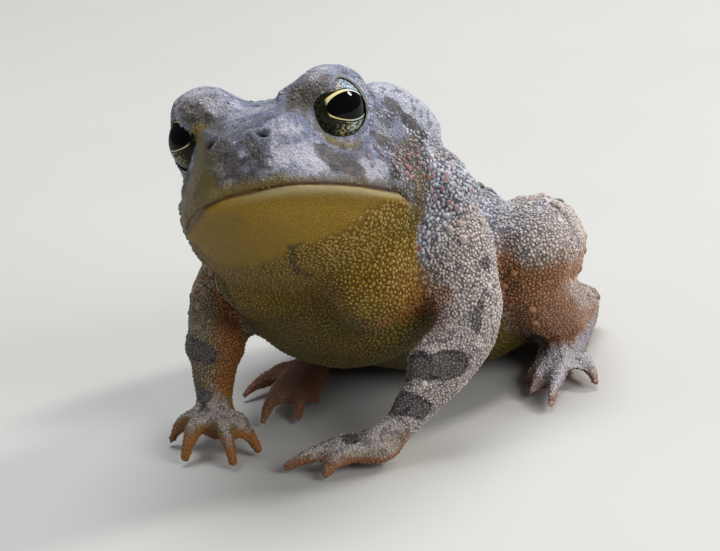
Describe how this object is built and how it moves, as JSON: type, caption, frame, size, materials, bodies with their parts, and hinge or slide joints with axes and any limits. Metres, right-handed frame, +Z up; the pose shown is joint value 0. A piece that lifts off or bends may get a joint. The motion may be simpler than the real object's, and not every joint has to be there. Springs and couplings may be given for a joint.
{
  "type": "toad model",
  "caption": "Life-size still model of a Fowler's toad sitting up on its front legs, head turned to its left, resting flat on belly, hands and feet.",
  "frame": {"origin": "middle of the base of the toad's bounding box, on the floor that it sits on", "axes": "+Z up, the toad faces -Y, +X is the toad's left side"},
  "size_m": [0.0416, 0.0596, 0.0393],
  "materials": {
    "skin_back": "dry warty skin, grey with slate mottling",
    "skin_belly": "granular skin, mustard yellow",
    "skin_leg": "dry granular skin, pinkish grey with dark bands",
    "skin_gland": "smooth pale beige-grey skin",
    "skin_digit": "smooth damp skin, pale above and orange below",
    "eye": "wet gloss black with gold flecks"
  },
  "bodies": {
    "root": {"head": "skin_back", "lower_jaw": "skin_belly", "torso": "skin_back", "eye_left": "eye", "eye_right": "eye", "parotoid_left": "skin_gland", "parotoid_right": "skin_gland", "tympanum_left": "skin_gland", "tympanum_right": "skin_gland", "upper_arm_left": "skin_leg", "upper_arm_right": "skin_leg", "forearm_left": "skin_leg", "forearm_right": "skin_leg", "hand_left": "skin_leg", "hand_right": "skin_leg", "finger_left_1": "skin_digit", "finger_left_2": "skin_digit", "finger_left_3": "skin_digit", "finger_left_4": "skin_digit", "finger_right_1": "skin_digit", "finger_right_2": "skin_digit", "finger_right_3": "skin_digit", "finger_right_4": "skin_digit", "thigh_left": "skin_leg", "thigh_right": "skin_leg", "shank_left": "skin_leg", "shank_right": "skin_leg", "foot_left": "skin_leg", "foot_right": "skin_leg", "toe_left_1": "skin_digit", "toe_left_2": "skin_digit", "toe_left_3": "skin_digit", "toe_left_4": "skin_digit", "toe_left_5": "skin_digit", "toe_right_1": "skin_digit", "toe_right_2": "skin_digit", "toe_right_3": "skin_digit", "toe_right_4": "skin_digit", "toe_right_5": "skin_digit"}
  },
  "joints": []
}
